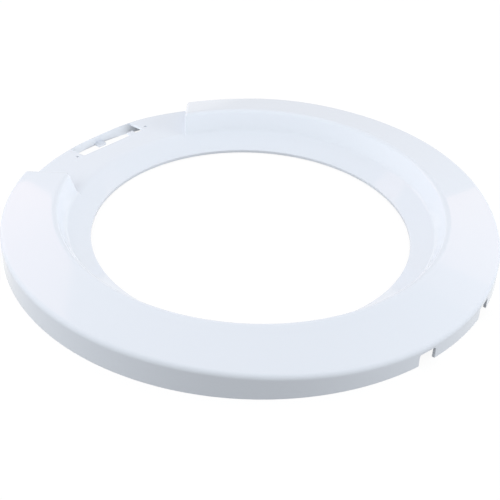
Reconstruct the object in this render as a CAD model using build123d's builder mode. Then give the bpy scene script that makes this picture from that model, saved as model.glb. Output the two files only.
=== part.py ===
import os
from math import isclose, sqrt

from build123d import *

# Millimetres. +Z points out of the front, +X to the handle recess, and the rear rim lies on Z = 0.

# Front of the ring, from the glass opening outwards: widths of its zones and heights of their corners
opening_radius = 143.0
rim_height = 3.9
flange_width = 20.0
corner_height = 16.0
bowl_wall_width = 8.7
crest_height = 34.6
face_width = 48.3
edge_height = 21.8

# Wall thickness, the rounds on those corners, and the bevel that keeps the wall even behind the edge
wall = 2.5
rim_bevel = 0.6
corner_round = 6.0
crest_round = 4.5
edge_round = 8.0
rear_edge_bevel = 2.4

# Handle recess: where its two ends meet the ring's edge and the crest, in degrees from +X
recess_left_edge_angle = 28.6
recess_left_crest_angle = 31.5
recess_right_edge_angle = -27.4
recess_right_crest_angle = -22.2
recess_edge_height = 9.2
recess_edge_round = 4.0
recess_end_round = 2.5
recess_lip_round = 14.0

# Slot in the recess floor, with the tongue, the lug and the pin holes beside it
slot_length = 76.0
slot_width = 25.5
slot_corner_round = 1.5
tongue_width = 9.5
tongue_reach = 6.3
tongue_thickness = 2.5
lug_width = 7.0
lug_reach = 7.0
lug_step = 1.0
lug_from_slot_end = 12.5
pin_hole_radius = 1.4
pin_hole_from_slot_end = 5.6
pin_hole_from_slot_edge = 3.2

# Hinge notches in the skirt, either side of a hinge line that lies at this angle from -X
hinge_angle = 3.9
notch_spacing = 83.2
notch_width = 17.0
notch_height = 11.0
notch_corner_round = 1.5

# Screw bosses behind the face, each on a web from the bowl to the skirt
boss_count = 5
boss_first_angle = 38.0
boss_from_edge = 28.0
boss_radius = 4.5
boss_tip_height = 3.0
pilot_radius = 1.75
pilot_depth = 14.0
web_thickness = 1.8
web_tip_height = 6.0

# Radii and places that follow from them
corner_radius = opening_radius + flange_width
crest_radius = corner_radius + bowl_wall_width
outer_radius = crest_radius + face_width
skirt_inside = outer_radius - wall
boss_circle_radius = outer_radius - boss_from_edge
slot_inner_edge = skirt_inside - slot_width
pin_hole_spacing = slot_length + 2 * pin_hole_from_slot_end
floor_fall = (corner_height - recess_edge_height) / (outer_radius - corner_radius)
slot_floor_height = recess_edge_height + (outer_radius - slot_inner_edge) * floor_fall
notch_far_side = (notch_spacing + notch_width) / 2
notch_depth = outer_radius - sqrt(skirt_inside**2 - notch_far_side**2) + wall
hinge_plane = Plane(
    origin=(0, 0, 0),
    x_dir=Vector(0, 1, 0).rotate(Axis.Z, hinge_angle),
    z_dir=Vector(1, 0, 0).rotate(Axis.Z, hinge_angle),
)

# Every form runs past the cuts that end it: below the rear rim, and inwards along the flange
overrun = 4 * wall
flange_rise = (corner_height - rim_height) / flange_width
skirt_foot = (outer_radius, -overrun)
flange_end = (opening_radius - overrun, rim_height - overrun * flange_rise)
flange_foot = (opening_radius - overrun, -overrun)
corner = (corner_radius, corner_height)
crest = (crest_radius, crest_height)
edge = (outer_radius, edge_height)
recess_edge = (outer_radius, recess_edge_height)


def ring_form(outline, depth, rounds, rear_bevels):
    # Ring with the given section: rounded corners on the front, a sunk copy with bevels for the rear
    with BuildPart() as ring:
        with BuildSketch(Plane.XZ):
            Polygon(*outline, align=None)
            if depth:
                offset(amount=-depth, kind=Kind.INTERSECTION)
            for place, size in (rear_bevels if depth else rounds):
                treat = chamfer if depth else fillet
                treat(vertices().sort_by_distance(place)[0], size)
        revolve(axis=Axis.Z)
    return ring.part


def tray_form(depth):
    # Low part of the front all the way round: flange, recess floor and the skirt below it
    outline = [skirt_foot, recess_edge, corner, flange_end, flange_foot]
    rounds = [(recess_edge, recess_edge_round), (corner, recess_lip_round)]
    return ring_form(outline, depth, rounds, [])


def recess_end(edge_angle, crest_angle):
    # Line of one end of the recess seen from the front: from its place on the ring's edge outwards
    on_edge = Vector(outer_radius, 0).rotate(Axis.Z, edge_angle)
    on_crest = Vector(crest_radius, 0).rotate(Axis.Z, crest_angle)
    return Axis(on_edge, on_edge - on_crest)


def raised_form(depth):
    # Full front with face, crest and bowl, less the wedge of the handle recess
    outline = [skirt_foot, edge, crest, corner, flange_end, flange_foot]
    rounds = [(edge, edge_round), (crest, crest_round), (corner, corner_round)]
    left = recess_end(recess_left_edge_angle, recess_left_crest_angle)
    right = recess_end(recess_right_edge_angle, recess_right_crest_angle)
    beyond_edge = [end.position + end.direction * outer_radius for end in (right, left)]
    with BuildPart() as raised:
        add(ring_form(outline, depth, rounds, [(edge, rear_edge_bevel)]))
        with BuildSketch(Plane.XY.offset(-overrun)):
            Polygon(left.intersect(right), *beyond_edge, align=None)
            offset(amount=depth, kind=Kind.INTERSECTION)
        extrude(amount=crest_height + 2 * overrun, mode=Mode.SUBTRACT)
    return raised.part


def front_form(depth):
    # Whole front, sunk by depth
    with BuildPart() as front:
        add(tray_form(depth))
        add(raised_form(depth))
    return front.part


# Full front with the ends of the recess rounded over, down to where the tray takes them in
with BuildPart() as raised_front:
    add(raised_form(0))
    recess_ends = faces().filter_by(GeomType.PLANE).filter_by(Axis.Z, reverse=True)
    fillet(recess_ends.edges().sort_by(Axis.Z)[len(recess_ends) :], recess_end_round)

# Bosses and webs, trimmed inside the thickness of the wall that carries them
with BuildPart() as rear_work:
    with BuildSketch(Plane.XY.offset(boss_tip_height)):
        with PolarLocations(boss_circle_radius, boss_count, start_angle=boss_first_angle):
            Circle(boss_radius)
    extrude(amount=crest_height)
    with BuildSketch(Plane.XY.offset(web_tip_height)):
        with PolarLocations(opening_radius, boss_count, start_angle=boss_first_angle):
            Rectangle(outer_radius - opening_radius, web_thickness, align=(Align.MIN, Align.CENTER))
    extrude(amount=crest_height)
    add(front_form(wall / 2), mode=Mode.INTERSECT)

with BuildPart() as outer_door_frame:
    # Hollow moulding, open at the rear
    add(tray_form(0))
    add(raised_front.part)
    add(front_form(wall), mode=Mode.SUBTRACT)
    add(rear_work.part)
    split(bisect_by=Plane.XY, keep=Keep.TOP)

    # Glass opening with its bevelled edge
    with BuildSketch():
        Circle(opening_radius)
    extrude(amount=crest_height, mode=Mode.SUBTRACT)
    rim_edges = edges().filter_by(GeomType.CIRCLE).filter_by(lambda rim: isclose(rim.radius, opening_radius))
    chamfer(rim_edges.sort_by(Axis.Z)[-1], rim_bevel)

    # Slot along the skirt, and the two pin holes beside it
    with BuildSketch():
        Circle(skirt_inside)
        with Locations((slot_inner_edge, 0)):
            Rectangle(outer_radius, slot_length, align=(Align.MIN, Align.CENTER), mode=Mode.INTERSECT)
        fillet(vertices().group_by(Axis.X)[0], slot_corner_round)
    extrude(amount=crest_height, mode=Mode.SUBTRACT)
    with BuildSketch():
        with Locations((slot_inner_edge + pin_hole_from_slot_edge, 0)):
            with GridLocations(0, pin_hole_spacing, 1, 2):
                Circle(pin_hole_radius)
    extrude(amount=crest_height, mode=Mode.SUBTRACT)

    # Tongue at the skirt's foot, and the lug on the slot's inner edge
    with Locations((skirt_inside - tongue_reach, 0, 0)):
        Box(
            tongue_reach + wall / 2,
            tongue_width,
            tongue_thickness,
            align=(Align.MIN, Align.CENTER, Align.MIN),
        )
    with Locations((slot_inner_edge - wall, lug_from_slot_end - slot_length / 2, slot_floor_height - lug_step)):
        Box(lug_reach + wall, lug_width, wall, align=(Align.MIN, Align.CENTER, Align.MAX))

    # Hinge notches, open at the rear rim
    with BuildSketch(hinge_plane.offset(-outer_radius - wall)):
        with GridLocations(notch_spacing, 0, 2, 1):
            Rectangle(notch_width, 2 * notch_height)
        fillet(vertices().group_by(Axis.Y)[-1], notch_corner_round)
    extrude(amount=notch_depth + wall, mode=Mode.SUBTRACT)

    # Pilot holes for the screws
    with BuildSketch(Plane.XY.offset(boss_tip_height)):
        with PolarLocations(boss_circle_radius, boss_count, start_angle=boss_first_angle):
            Circle(pilot_radius)
    extrude(amount=pilot_depth, mode=Mode.SUBTRACT)

outer_door_frame.part.label = "outer_door_frame"

os.makedirs("parts", exist_ok=True)
export_step(outer_door_frame.part, "parts/outer_door_frame.step")
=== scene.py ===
import bpy
import bmesh
from cmath import phase, rect
from math import asin, cos, degrees, pi, radians, sin, sqrt, tan
from mathutils import Matrix, Vector


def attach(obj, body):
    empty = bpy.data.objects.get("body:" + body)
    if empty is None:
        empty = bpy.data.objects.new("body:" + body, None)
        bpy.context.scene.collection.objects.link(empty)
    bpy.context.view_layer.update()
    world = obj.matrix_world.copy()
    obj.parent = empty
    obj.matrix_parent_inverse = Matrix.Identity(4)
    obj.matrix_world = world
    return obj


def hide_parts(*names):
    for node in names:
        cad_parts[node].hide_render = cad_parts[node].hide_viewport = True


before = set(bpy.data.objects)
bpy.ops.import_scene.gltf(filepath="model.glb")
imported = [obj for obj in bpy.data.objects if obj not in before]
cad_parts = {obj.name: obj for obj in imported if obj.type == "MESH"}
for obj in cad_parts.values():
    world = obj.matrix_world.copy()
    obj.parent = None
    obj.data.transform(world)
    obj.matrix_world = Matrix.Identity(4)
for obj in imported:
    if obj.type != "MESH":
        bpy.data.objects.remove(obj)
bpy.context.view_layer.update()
print("frame loaded")


# shader maths: a socket that takes part in Python expressions
class Value:
    def __init__(self, finish, socket):
        self.finish, self.socket = finish, socket

    def math(self, operation, first, second):
        return self.finish.node("ShaderNodeMath", {"operation": operation}, {0: first, 1: second})

    def __add__(self, other):
        return self.math("ADD", self, other)

    def __sub__(self, other):
        return self.math("SUBTRACT", self, other)

    def __rsub__(self, other):
        return self.math("SUBTRACT", other, self)

    def __mul__(self, other):
        return self.math("MULTIPLY", self, other)

    __radd__, __rmul__ = __add__, __mul__


# a node tree that is filled one node at a time
class Finish:
    def __init__(self, owner):
        owner.use_nodes = True
        self.tree = owner.node_tree
        self.tree.nodes.clear()

    def node(self, kind, settings, inputs, output=0):
        made = self.tree.nodes.new(kind)
        for name, setting in settings.items():
            setattr(made, name, setting)
        for name, given in inputs.items():
            if isinstance(given, Value):
                self.tree.links.new(given.socket, made.inputs[name])
            else:
                made.inputs[name].default_value = given
        return Value(self, made.outputs[output]) if made.outputs else None


# section of the moulding in millimetres, as radius and height, and angles in degrees from the handle
moulding = {
    "rim": 143 + 3.9j,
    "corner": 163 + 16j,
    "crest": 171.7 + 34.4j,
    "edge": 220 + 21.8j,
    "recessEdge": 220 + 9.2j,
    "wall": 2.5,
    "sideRise": 2.8,  # the outer edge stands higher at the sides, and dips towards the hinge
    "riseSpan": ((40, 100), (25, 60)),  # left and right of the handle
    "hingeDip": 9.2,
    "dipReach": (72, 85),  # left and right
    "floorLift": 3.5,  # the recess's own edge climbs towards its right end
    "liftSpan": (3, -16),
    "liftEnd": (-30, -50),  # rows of the skirt beyond the recess settle back
    "edgeRound": 4.5,
    "crestRound": 4.5,
    "cornerRound": 6.0,
    "recessEdgeRound": 4.0,
    "lipRound": 14.0,
    "leftEnd": (28.6, 31.5),  # on the edge, on the crest
    "rightEnd": (332.6, 337.8),
    "endRound": 2.5,
    "endRoundMost": 0.6,  # share of the end's own height
    "slotEdge": 192.0,
    "slotHalf": 38.0,
    "slotRound": 1.5,
    "hingeAngle": 183.9,
    "notchFromHinge": 41.6,
    "notchHalf": 8.5,
    "notchHeight": 11.0,
    "notchRound": 1.5,
    "sharpEdge": 0.35,  # tiny round that the mould leaves on its edges
    "sharpFrom": 40,  # bend of an edge that gets it
}

# steps of the mesh along each stretch of the section, from the foot of the skirt in to the rim
steps = {
    "foot": 3,
    "edge": 12,
    "face": 10,
    "crest": 9,
    "bowl": 6,
    "corner": 7,
    "belowCorner": 2,
    "flange": 7,
}

# the rest of the mesh: columns round the ring, and distances in millimetres
layout = {
    "columnStep": 1.3,  # degrees
    "endColumns": 5,
    "pastEnd": 6.0,  # from the end of the recess to the first plain column
    "besideSlot": 14,
    "acrossSlot": 24,
    "acrossNotch": 3,
    "betweenNotches": 6,
    "aboveNotch": 0.5,
    "slotOnRound": 14,  # row of the recess's outer round where the slot meets the skirt
    "onEdge": 0.01,
    "slotCorner": (0.6, 1.0),  # along and across the skirt
    "samePoint": 0.0001,
    "sameAfterRound": 0.01,
}

foot = complex(moulding["edge"].real, 0)
skirtInside = foot.real - moulding["wall"]
hinge = radians(moulding["hingeAngle"])

# heights on the upper skirt, with rows where the hinge notches end
skirtHeights = [
    moulding["notchHeight"] - 2 * moulding["notchRound"],
    moulding["notchHeight"] - moulding["notchRound"],
    moulding["notchHeight"],
    moulding["notchHeight"] + layout["aboveNotch"],
]
recessEdgeSteps = len(skirtHeights) + 1 + steps["edge"]
notchRow = steps["foot"] + 1 + skirtHeights.index(moulding["notchHeight"])
slotOuterRow = steps["foot"] + layout["slotOnRound"]
slotInnerRow = steps["foot"] + recessEdgeSteps + steps["face"]


def between(start, end, count):
    return [start + (end - start) * k / count for k in range(count)]


def filletArc(before, corner, after, radius, count):
    toBefore = (before - corner) / abs(before - corner)
    toAfter = (after - corner) / abs(after - corner)
    half = abs(phase(toAfter / toBefore)) / 2
    start, end = (corner + side * radius / tan(half) for side in (toBefore, toAfter))
    middle = toBefore + toAfter
    centre = corner + middle / abs(middle) * radius / sin(half)
    turn = phase((end - centre) / (start - centre))
    return [centre + (start - centre) * rect(1, turn * k / count) for k in range(count + 1)]


def meeting(start, along, other, otherAlong):
    # where two lines of the section cross
    gap = other - start
    reach = (gap * otherAlong.conjugate()).imag / (along * otherAlong.conjugate()).imag
    return start + along * reach


def sunkPath(corners, depth):
    # the section's outline, moved inwards by the given depth
    runs = [(b - a) / abs(b - a) for a, b in zip(corners, corners[1:])]
    moved = [corner + run * 1j * depth for corner, run in zip(corners, runs)]
    inner = [meeting(moved[k], runs[k], moved[k + 1], runs[k + 1]) for k in range(len(runs) - 1)]
    start = meeting(moved[0], runs[0], corners[0], 1 + 0j)
    end = meeting(moved[-1], runs[-1], corners[-1], 1j)
    return [start, *inner, end]


def away(angle, other):
    # how far two directions are apart, in degrees
    return abs(degrees((angle - other + pi) % (2 * pi) - pi))


def eased(value, start, end):
    # goes smoothly from 0 at the start to 1 at the end
    share = min(max((value - start) / (end - start), 0), 1)
    return share * share * (3 - 2 * share)


def edgeAt(angle):
    # the corner between skirt and face, whose height changes round the ring
    onRight = angle % (2 * pi) > hinge
    rise = eased(away(angle, 0), *moulding["riseSpan"][onRight])
    dip = (1 + cos(pi * min(away(angle, hinge) / moulding["dipReach"][onRight], 1))) / 2
    return moulding["edge"] + 1j * (moulding["sideRise"] * rise - moulding["hingeDip"] * dip)


def recessEdgeAt(angle):
    # the corner between skirt and recess, which climbs to the right
    turn = degrees((angle + pi) % (2 * pi) - pi)
    share = eased(turn, *moulding["liftSpan"]) - eased(turn, *moulding["liftEnd"])
    return moulding["recessEdge"] + 1j * moulding["floorLift"] * share


def trayArcs(depth, angle):
    path = sunkPath([foot, recessEdgeAt(angle), moulding["corner"], moulding["rim"]], depth)
    edgeArc = filletArc(*path[0:3], moulding["recessEdgeRound"] - depth, recessEdgeSteps)
    lipArc = filletArc(*path[1:4], moulding["lipRound"] - depth, steps["corner"] + steps["belowCorner"])
    return path, edgeArc, lipArc


def raisedPath(depth, angle):
    return sunkPath([foot, edgeAt(angle), moulding["crest"], moulding["corner"], moulding["rim"]], depth)


def raisedRows(depth, angle):
    path = raisedPath(depth, angle)
    edgeArc = filletArc(*path[0:3], moulding["edgeRound"] - depth, steps["edge"])
    crestArc = filletArc(*path[1:4], moulding["crestRound"] - depth, steps["crest"])
    cornerArc = filletArc(*path[2:5], moulding["cornerRound"] + depth, steps["corner"])
    _, trayEdge, lipArc = trayArcs(depth, angle)
    lift = recessEdgeAt(angle) - moulding["recessEdge"]
    return [
        *between(path[0], trayEdge[0], steps["foot"]),
        trayEdge[0],
        *[complex(path[0].real, height) + lift for height in skirtHeights],
        *edgeArc[:-1],
        *between(edgeArc[-1], crestArc[0], steps["face"]),
        *crestArc[:-1],
        *between(crestArc[-1], cornerArc[0], steps["bowl"]),
        *cornerArc[:-1],
        *between(cornerArc[-1], lipArc[-1], steps["belowCorner"]),
        *between(lipArc[-1], path[-1], steps["flange"]),
        path[-1],
    ]


def onRecessArc(arc, radius):
    # the point of the recess's outer round at a given radius
    centre = complex(foot.real - moulding["recessEdgeRound"], arc[0].imag)
    across = radius - centre.real
    return complex(radius, centre.imag + sqrt(moulding["recessEdgeRound"] ** 2 - across ** 2))


def trayRows(depth, slotEdge, angle):
    path, edgeArc, lipArc = trayArcs(depth, angle)
    if depth == 0:  # one row runs where the slot meets the skirt
        edgeArc[layout["slotOnRound"]] = onRecessArc(edgeArc, skirtInside)
    fall = lipArc[0] - edgeArc[-1]
    slotPoint = edgeArc[-1] + fall * (slotEdge - edgeArc[-1].real) / fall.real
    return [
        *between(path[0], edgeArc[0], steps["foot"]),
        *edgeArc[:-1],
        *between(edgeArc[-1], slotPoint, steps["face"]),
        *between(slotPoint, lipArc[0], steps["crest"] + steps["bowl"]),
        *lipArc[:-1],
        *between(lipArc[-1], path[-1], steps["flange"]),
        path[-1],
    ]


# a column of the mesh runs along a straight line seen from the front, which has a direction and a
# distance from the centre, or it lies a share of the way between two such lines
def azimuth(line, radius):
    direction, aside = line
    return direction + asin(aside / radius)


def endLine(name):
    onEdge = rect(foot.real, radians(moulding[name][0]))
    onCrest = rect(moulding["crest"].real, radians(moulding[name][1]))
    direction = phase(onEdge - onCrest)
    return direction, (onEdge * rect(1, -direction)).imag


leftLine, rightLine = endLine("leftEnd"), endLine("rightEnd")


def shifted(line, aside, turns=0):
    return line[0] + turns * 2 * pi, line[1] + aside


def onLine(line):
    return line, line, 0


def spread(first, last, count):
    # columns shared out between two lines
    return [(first, last, k / count) for k in range(count)]


def notchColumns():
    # lines beside the hinge: the notches' sides, and their rounded corners
    near = moulding["notchFromHinge"] - moulding["notchHalf"]
    far = moulding["notchFromHinge"] + moulding["notchHalf"]
    small = moulding["notchRound"]
    inside = between(near + small, far - small, layout["acrossNotch"])
    return [near, near + small, *inside[1:], far - small, far]


def raisedColumns(depth):
    # the columns over the raised ring, and the first and last of each notch
    first = shifted(leftLine, depth + layout["pastEnd"])
    last = shifted(rightLine, -depth - layout["pastEnd"], 1)
    notch = notchColumns()
    middle = between(-notch[0], notch[0], layout["betweenNotches"])[1:]
    lines = [(hinge, aside) for aside in [*[-y for y in reversed(notch)], *middle, *notch]]
    before = round((moulding["hingeAngle"] - moulding["leftEnd"][0]) / layout["columnStep"])
    after = round((moulding["rightEnd"][0] - moulding["hingeAngle"]) / layout["columnStep"])
    columns = [
        *spread(first, lines[0], before),
        *[onLine(line) for line in lines],
        *spread(lines[-1], last, after)[1:],
        onLine(last),
    ]
    starts = (before, before + len(lines) - len(notch))
    return columns, [(start, start + len(notch) - 1) for start in starts]


def trayColumns(depth):
    # the columns over the recess, where each meets the slot's inner edge, and the slot's first and last
    half, small, beside = moulding["slotHalf"], moulding["slotRound"], layout["besideSlot"]
    middle = between(-half + small, half - small, layout["acrossSlot"])[1:]
    asides = [-half, -half + small, *middle, half - small, half]
    lines = [(0.0, y) for y in asides]
    right, left = shifted(rightLine, -depth), shifted(leftLine, depth)
    columns = [
        *spread(right, lines[0], beside),
        *[onLine(line) for line in lines],
        *spread(lines[-1], left, beside)[1:],
        onLine(left),
    ]
    slotRadius = sqrt(moulding["slotEdge"] ** 2 + half ** 2)
    edges = [slotRadius] * beside + [sqrt(moulding["slotEdge"] ** 2 + y ** 2) for y in asides]
    edges += [slotRadius] * (len(columns) - len(edges))
    return columns, edges, (beside, beside + len(lines) - 1)


def columnAngle(column, radius):
    first, last, share = column
    return azimuth(first, radius) * (1 - share) + azimuth(last, radius) * share


def placed(column, row):
    angle = columnAngle(column, row.real)
    return Vector((row.real * cos(angle), row.real * sin(angle), row.imag))


def raisedColumn(column, depth):
    return [placed(column, row) for row in raisedRows(depth, columnAngle(column, foot.real))]


def roundedEnd(line, side, depth, raised, tray):
    # columns that carry the raised front over into the end of the recess
    across = Vector((-sin(line[0]), cos(line[0]), 0))
    columns = [[] for _ in range(layout["endColumns"])]
    for k, row in enumerate(raised):
        before, after = raised[max(k - 1, 0)], raised[min(k + 1, len(raised) - 1)]
        normal = (after - before) / abs(after - before) * -1j
        most = moulding["endRoundMost"] * abs(row - tray[k])
        radius = 0 if depth else min(moulding["endRound"], most)
        for n, column in enumerate(columns):
            swing = pi / 2 * n / (len(columns) - 1)
            inner = shifted(line, side * (depth + radius * (1 - cos(swing))))
            angle = azimuth(inner, row.real)
            out = Vector((normal.real * cos(angle), normal.real * sin(angle), normal.imag))
            out = (out - across * out.dot(across)).normalized()
            column.append(placed(onLine(inner), row) - out * radius * (1 - sin(swing)))
    return columns


def skinPoints(depth):
    # the front, or the rear sunk by the wall: columns of points over the raised ring and over the recess
    columns, notches = raisedColumns(depth)
    trayLines, slotEdges, slot = trayColumns(depth)
    trayGrid = [[placed(column, row) for row in trayRows(depth, edge, columnAngle(column, foot.real))]
                for column, edge in zip(trayLines, slotEdges)]
    ends = []
    for name, line, side in (("leftEnd", leftLine, 1), ("rightEnd", shifted(rightLine, 0, 1), -1)):
        angle = radians(moulding[name][0])
        trayEnd = trayRows(depth, slotEdges[0], angle)
        ends.append(roundedEnd(line, side, depth, raisedRows(depth, angle), trayEnd))
    leftColumns, rightColumns = ends
    plainColumns = [raisedColumn(column, depth) for column in columns]
    raisedGrid = [*leftColumns, *plainColumns, *reversed(rightColumns)]
    shift = len(leftColumns)
    return raisedGrid, trayGrid, [(start + shift, end + shift) for start, end in notches], slot


def strip(mesh, first, second):
    # faces between two lines of points
    for a, b, c, d in zip(first, first[1:], second[1:], second):
        mesh.faces.new((a, b, c, d))


def easeCorner(corner, beside, along):
    # the middle of a round corner lies this share of the way to its ends
    share = 1 - sqrt(0.5)
    corner.co += ((beside.co - corner.co) + (along.co - corner.co)) * share


def mergePoints(mesh, distance):
    bmesh.ops.remove_doubles(mesh, verts=mesh.verts, dist=distance)
    bmesh.ops.dissolve_degenerate(mesh, edges=mesh.edges, dist=distance)


def softenEdges(mesh):
    # the tiny round on the edges of the rim, the foot, the slot and the notches
    alongSkirt, acrossSkirt = layout["slotCorner"]

    def besideEnd(vert, line):
        turned = complex(*vert.co.xy) * rect(1, -line[0])
        return turned.real > 0 and abs(turned.imag - line[1]) < 2 * moulding["wall"]

    def onSlotCorner(vert):
        onSide = abs(abs(vert.co.y) - moulding["slotHalf"]) < alongSkirt
        return onSide and vert.co.x > 0 and vert.co.xy.length > skirtInside - acrossSkirt

    def kept(edge):
        onRim = all(vert.co.xy.length < moulding["rim"].real + layout["onEdge"] for vert in edge.verts)
        onFoot = all(vert.co.z < layout["onEdge"] for vert in edge.verts)
        atEnd = any(besideEnd(vert, line) for vert in edge.verts for line in (leftLine, rightLine))
        atSlotCorner = any(onSlotCorner(vert) for vert in edge.verts)
        return onRim or onFoot or not (atEnd or atSlotCorner)

    bend = radians(moulding["sharpFrom"])
    sharp = [edge for edge in mesh.edges if edge.calc_face_angle() > bend and kept(edge)]
    bmesh.ops.bevel(mesh, geom=sharp, offset=moulding["sharpEdge"], offset_type="OFFSET", segments=2,
                    profile=0.5, affect="EDGES", clamp_overlap=False)
    mergePoints(mesh, layout["sameAfterRound"])


def buildShell():
    mesh = bmesh.new()
    skins = []
    for depth in (0, moulding["wall"]):
        raisedGrid, trayGrid, notches, slot = skinPoints(depth)
        raised, tray = ([[mesh.verts.new(point) for point in column] for column in grid]
                        for grid in (raisedGrid, trayGrid))
        for number, (first, second) in enumerate(zip(raised, raised[1:])):
            cut = any(start <= number < end for start, end in notches)
            low = notchRow if cut else 0
            strip(mesh, first[low:], second[low:])
        outerRow = slotOuterRow if depth == 0 else steps["foot"]
        for number, (first, second) in enumerate(zip(tray, tray[1:])):
            if slot[0] <= number < slot[1]:
                strip(mesh, first[:outerRow + 1], second[:outerRow + 1])
                strip(mesh, first[slotInnerRow:], second[slotInnerRow:])
            else:
                strip(mesh, first, second)
        strip(mesh, raised[0], tray[-1])
        strip(mesh, raised[-1], tray[0])
        skins.append((raised, tray, outerRow))
    (raised, tray, outerRow), (rearRaised, rearTray, rearOuterRow) = skins

    # the front and the rear are joined along the rim, the foot, the notches and the slot
    def joined(front, rear, row, rearRow, start, end):
        strip(mesh, [column[row] for column in front[start:end + 1]],
              [column[rearRow] for column in rear[start:end + 1]])

    last = len(raised) - 1
    joined(raised, rearRaised, -1, -1, 0, last)
    joined(tray, rearTray, -1, -1, 0, len(tray) - 1)
    joined(tray, rearTray, 0, 0, 0, len(tray) - 1)
    reached = 0
    for start, end in notches:
        joined(raised, rearRaised, 0, 0, reached, start)
        joined(raised, rearRaised, notchRow, notchRow, start, end)
        for side in (start, end):
            strip(mesh, raised[side][:notchRow + 1], rearRaised[side][:notchRow + 1])
        reached = end
    joined(raised, rearRaised, 0, 0, reached, last)
    joined(tray, rearTray, slotInnerRow, slotInnerRow, *slot)
    joined(tray, rearTray, outerRow, rearOuterRow, *slot)
    for side in slot:
        mesh.faces.new(tray[side][outerRow:slotInnerRow + 1]
                       + rearTray[side][rearOuterRow:slotInnerRow + 1][::-1])

    # inner corners of the slot and the notches
    for front, rear, (start, end), row in [(tray, rearTray, slot, slotInnerRow),
                                           *[(raised, rearRaised, notch, notchRow) for notch in notches]]:
        for grid in (front, rear):
            easeCorner(grid[start][row], grid[start + 1][row], grid[start][row - 1])
            easeCorner(grid[end][row], grid[end - 1][row], grid[end][row - 1])
    mergePoints(mesh, layout["samePoint"])
    bmesh.ops.recalc_face_normals(mesh, faces=mesh.faces)
    return mesh


def linkedObject(name, data):
    made = bpy.data.objects.new(name, data)
    bpy.context.scene.collection.objects.link(made)
    return made


def meshObject(name, mesh):
    millimetre = 0.001
    bmesh.ops.scale(mesh, vec=(millimetre,) * 3, verts=mesh.verts)
    data = bpy.data.meshes.new(name)
    mesh.to_mesh(data)
    mesh.free()
    data.shade_smooth()
    return linkedObject(name, data)


shell = buildShell()
softenEdges(shell)
print("shell", len(shell.verts), "points", len(shell.faces), "faces",
      sum(not edge.is_manifold for edge in shell.edges), "open edges")
ring = meshObject("doorRing", shell)


# small work on the shell, in millimetres: tabs in the slot, holes, and the screw bosses behind the face
details = {
    "tongue": ((211.2, -4.75, 0.0), (218.75, 4.75, 2.5)),  # lowest and highest corner
    "lug": ((189.5, -29.0, 10.04), (199.0, -22.0, 12.54)),
    "tabRound": 0.4,
    "pinHoles": [(195.2, 43.6), (195.2, -43.6)],
    "pinHoleRadius": 1.4,
    "pinHoleSpan": (4.0, 20.0),  # from below the floor of the recess to above it
    "bossCircle": 192.0,
    "bossAngles": [38 + 72 * k for k in range(5)],
    "bossRadius": 4.5,
    "bossTip": 3.0,
    "pilotRadius": 1.75,
    "pilotDepth": 14.0,
    "pilotStart": 1.0,  # below the tip
    "webHalf": 0.9,
    "webTip": 6.0,
    "postSides": 32,
    "shadeSplit": 35,  # bend in degrees from which an edge shows
}


def addTab(mesh, low, high):
    made = bmesh.ops.create_cube(mesh, size=1.0)
    for vert in made["verts"]:
        vert.co = Vector((low[k] if vert.co[k] < 0 else high[k]) for k in range(3))
    edges = [edge for edge in mesh.edges if edge.verts[0] in made["verts"]]
    bmesh.ops.bevel(mesh, geom=edges, offset=details["tabRound"], segments=3, profile=0.5,
                    affect="EDGES", clamp_overlap=True)


def addBody(mesh, first, second):
    # closed body between two outlines
    for k in range(len(first)):
        mesh.faces.new((first[k - 1], first[k], second[k], second[k - 1]))
    mesh.faces.new(first[::-1])
    mesh.faces.new(second)


def addPost(mesh, place, radius, low, topAt):
    # upright post whose top follows the given height
    turns = [rect(radius, 2 * pi * k / details["postSides"]) for k in range(details["postSides"])]
    around = [Vector((place.real + turn.real, place.imag + turn.imag, 0)) for turn in turns]
    addBody(mesh, *[[mesh.verts.new((*point.xy, height(point))) for point in around]
                    for height in (lambda _: low, topAt)])


def underFace(point):
    # height halfway into the wall of the face
    edge, crest = raisedPath(moulding["wall"] / 2, phase(complex(*point.xy)))[1:3]
    return edge.imag + (crest.imag - edge.imag) * (point.xy.length - edge.real) / (crest.real - edge.real)


def addWeb(mesh, angle):
    # wall across the hollow section, from a level edge up to halfway into the shell
    tip = details["webTip"]
    upper = [row for row in raisedRows(moulding["wall"] / 2, radians(angle)) if row.imag > tip]
    outline = [complex(upper[0].real, tip), *upper, complex(upper[-1].real, tip)]
    turn = Matrix.Rotation(radians(angle), 3, "Z")
    addBody(mesh, *[[mesh.verts.new(turn @ Vector((row.real, aside, row.imag))) for row in outline]
                    for aside in (-details["webHalf"], details["webHalf"])])


def combine(piece, tool, operation):
    bmesh.ops.recalc_face_normals(tool, faces=tool.faces)
    helper = meshObject("helper", tool)
    modifier = piece.modifiers.new("combine", "BOOLEAN")
    modifier.operation, modifier.object, modifier.solver = operation, helper, "EXACT"
    evaluated = piece.evaluated_get(bpy.context.evaluated_depsgraph_get())
    result = bpy.data.meshes.new_from_object(evaluated)
    piece.modifiers.clear()
    piece.data = result
    bpy.data.objects.remove(helper)


def addDetails(piece):
    tabs, posts, webs, holes = (bmesh.new() for _ in range(4))
    addTab(tabs, *details["tongue"])
    addTab(tabs, *details["lug"])
    tip = details["bossTip"]
    for angle in details["bossAngles"]:
        place = rect(details["bossCircle"], radians(angle))
        addPost(posts, place, details["bossRadius"], tip, underFace)
        addPost(holes, place, details["pilotRadius"], tip - details["pilotStart"],
                lambda _: tip + details["pilotDepth"])
        addWeb(webs, angle)
    low, high = details["pinHoleSpan"]
    for place in details["pinHoles"]:
        addPost(holes, complex(*place), details["pinHoleRadius"], low, lambda _: high)
    combine(piece, webs, "UNION")
    combine(piece, posts, "UNION")
    combine(piece, tabs, "UNION")
    combine(piece, holes, "DIFFERENCE")


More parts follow.
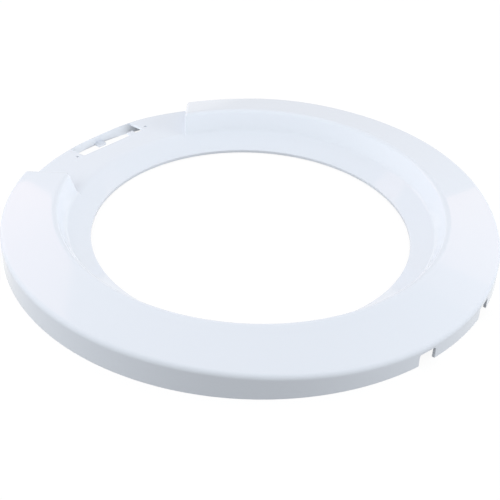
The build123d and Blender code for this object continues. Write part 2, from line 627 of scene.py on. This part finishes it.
addDetails(ring)
ring.data.set_sharp_from_angle(angle=radians(details["shadeSplit"]))
ring.modifiers.new("evenShading", "WEIGHTED_NORMAL").keep_sharp = True
print("details added", len(ring.data.polygons), "faces")
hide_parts("outer_door_frame")
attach(ring, "root")


# moulded plastic: glossy on the show side, duller where the rear half of the mould shaped it
plastic = {
    "colour": (0.835, 0.88, 0.945, 1.0),
    "colourDrift": (0.825, 0.872, 0.94, 1.0),
    "driftSize": 14.0,
    "driftDetail": 3.0,
    "gloss": 0.05,
    "glossDrift": 0.05,
    "rearGloss": 0.45,
    "rearTurn": (-0.02, -0.12),  # how far a surface faces down where the dull side starts and is full
    "peelSize": 900.0,
    "peelDepth": 0.00002,
    "peelStrength": 0.05,
}


def glossyPlastic():
    material = bpy.data.materials.new("whitePlastic")
    finish = Finish(material)
    place = finish.node("ShaderNodeTexCoord", {}, {}, "Object")
    drift = finish.node("ShaderNodeTexNoise", {}, {
        "Vector": place, "Scale": plastic["driftSize"], "Detail": plastic["driftDetail"]}, "Fac")
    peel = finish.node("ShaderNodeTexNoise", {}, {"Vector": place, "Scale": plastic["peelSize"]}, "Fac")
    colour = finish.node("ShaderNodeMix", {"data_type": "RGBA"}, {  # its colours are 6 and 7 in, 2 out
        "Factor": drift, 6: plastic["colour"], 7: plastic["colourDrift"]}, 2)
    bump = finish.node("ShaderNodeBump", {}, {
        "Height": peel, "Strength": plastic["peelStrength"], "Distance": plastic["peelDepth"]})
    facing = finish.node("ShaderNodeTexCoord", {}, {}, "Normal")
    upwards = finish.node("ShaderNodeSeparateXYZ", {}, {"Vector": facing}, "Z")
    start, full = plastic["rearTurn"]
    rear = finish.node("ShaderNodeMapRange", {}, {"Value": upwards, "From Min": start, "From Max": full})
    dulling = plastic["rearGloss"] - plastic["gloss"]
    roughness = drift * plastic["glossDrift"] + rear * dulling + plastic["gloss"]
    shader = finish.node("ShaderNodeBsdfPrincipled", {}, {
        "Base Color": colour, "Roughness": roughness, "Normal": bump})
    finish.node("ShaderNodeOutputMaterial", {}, {"Surface": shader})
    return material


ring.data.materials.append(glossyPlastic())
print("plastic made")


# studio: a white table, a light tent, two softboxes at the sides and three behind that the face mirrors
studio = {
    "floorSize": 40.0,
    "floorInside": 0.132,
    "insideSides": 64,
    "underSlot": (0.150, 0.216, 0.036),  # from, to and half its length
    "patchHeight": 0.0002,
    "floorColour": (0.10, 0.10, 0.10, 1.0),
    "floorRoughness": 0.9,
    "floorGlow": 0.92,
    "heading": -136.7,  # the view's own directions, right, away and up, turned into the ring's
    "tentColour": (0.975, 0.99, 1.01, 1.0),
    "tentFront": 0.80,
    "tentBack": 0.78,
    "tentTurn": (-0.2, 0.6),  # where its front goes over into its back
    "belowTable": 0.11,
    "tableLine": (-0.06, -0.04),  # the tent ends just below the horizon
}

# place, facing, lean in degrees, size in metres, brightness and colour
softboxes = {
    "sideLeft": ((-1.6, -0.14, 0.5), (1.6, 0.14, -0.45), 0, (1.0, 0.9), 3.1, (0.94, 0.97, 1.0)),
    "sideRight": ((1.6, -0.14, 0.5), (-1.6, 0.14, -0.45), 0, (1.0, 0.9), 3.1, (0.94, 0.97, 1.0)),
    "rearLeft": ((-1.5, 1.2, 1.2), (0, -1, 0), -9.6, (1.2, 1.8), 0.75, (1.0, 0.56, 0.45)),
    "rearRight": ((1.4, 1.2, 0.75), (0, -1, 0), 9.6, (1.2, 0.9), 0.6, (1.0, 0.58, 0.42)),
    "rearRightTop": ((1.53, 1.2, 1.5), (0, -1, 0), 9.6, (1.2, 0.6), 0.2, (1.0, 0.6, 0.5)),
}

picture = Matrix.Rotation(radians(studio["heading"]), 3, "Z")


def floorMaterial():
    material = bpy.data.materials.new("paleFloor")
    finish = Finish(material)
    shader = finish.node("ShaderNodeBsdfPrincipled", {}, {
        "Base Color": studio["floorColour"], "Roughness": studio["floorRoughness"],
        "Specular IOR Level": 0.0, "Emission Color": (1.0, 1.0, 1.0, 1.0),
        "Emission Strength": studio["floorGlow"]})
    finish.node("ShaderNodeOutputMaterial", {}, {"Surface": shader})
    return material


def buildFloor(name, outline, height, material):
    mesh = bpy.data.meshes.new(name)
    mesh.from_pydata([(x, y, height) for x, y in outline], [], [range(len(outline))])
    mesh.materials.append(material)
    floor = linkedObject(name, mesh)
    return floor


def buildFloors():
    # the table throws light up through the ring, and little at its skirt
    half, height, sides = studio["floorSize"] / 2, studio["patchHeight"], studio["insideSides"]
    near, far, along = studio["underSlot"]
    material = floorMaterial()
    corners = [(half, half), (-half, half), (-half, -half), (half, -half)]
    around = [rect(studio["floorInside"], 2 * pi * k / sides) for k in range(sides)]
    patch = [(near, -along), (far, -along), (far, along), (near, along)]
    buildFloor("floor", corners, 0, material).visible_diffuse = False
    buildFloor("floorInside", [(point.real, point.imag) for point in around], height, material)
    buildFloor("floorUnderSlot", patch, height, material)


def buildTent():
    world = bpy.data.worlds.new("tent")
    bpy.context.scene.world = world
    finish = Finish(world)
    direction = finish.node("ShaderNodeTexCoord", {}, {}, "Generated")

    def towards(aim, start, end):
        along = finish.node("ShaderNodeVectorMath", {"operation": "DOT_PRODUCT"},
                            {0: direction, 1: picture @ Vector(aim)}, "Value")
        return finish.node("ShaderNodeMapRange", {"interpolation_type": "SMOOTHSTEP"},
                           {"Value": along, "From Min": start, "From Max": end})

    behind = towards((0, 1, 0), *studio["tentTurn"])
    above = towards((0, 0, 1), *studio["tableLine"])
    wall = behind * (studio["tentBack"] - studio["tentFront"]) + studio["tentFront"]
    light = above * (wall - studio["belowTable"]) + studio["belowTable"]
    glow = finish.node("ShaderNodeBackground", {}, {"Color": studio["tentColour"], "Strength": light})
    finish.node("ShaderNodeOutputWorld", {}, {"Surface": glow})


def addSoftbox(name, place, facing, lean, size, brightness, colour):
    light = bpy.data.lights.new(name, "AREA")
    light.shape, light.size, light.size_y = "RECTANGLE", *size
    light.energy, light.color = brightness * pi * size[0] * size[1], colour
    lamp = linkedObject(name, light)
    aim = (picture @ Vector(facing)).to_track_quat("-Z", "Y").to_matrix()
    turned = (aim @ Matrix.Rotation(radians(lean), 3, "Z")).to_4x4()
    lamp.matrix_world = Matrix.Translation(picture @ Vector(place)) @ turned
    lamp.visible_glossy = name.startswith("rear")  # only the rear ones are mirrored in the face


buildFloors()
buildTent()
for name, softbox in softboxes.items():
    addSoftbox(name, *softbox)
print("studio lit")


# camera at the angle of the picture
camera = {
    "place": (-0.5555, 0.5896, 0.5461),
    "heading": 223.3,
    "tilt": 55.09,
    "roll": 2.47,
    "lens": 77.86,
    "sensor": 36,
}


def buildCamera():
    data = bpy.data.cameras.new("camera")
    data.lens, data.sensor_width = camera["lens"], camera["sensor"]
    viewer = linkedObject("camera", data)
    viewer.matrix_world = (Matrix.Translation(camera["place"])
                           @ Matrix.Rotation(radians(camera["heading"]), 4, "Z")
                           @ Matrix.Rotation(radians(camera["tilt"]), 4, "X")
                           @ Matrix.Rotation(radians(camera["roll"]), 4, "Z"))
    bpy.context.scene.camera = viewer
    bpy.context.scene.view_settings.view_transform = "Standard"


buildCamera()
print("camera set")
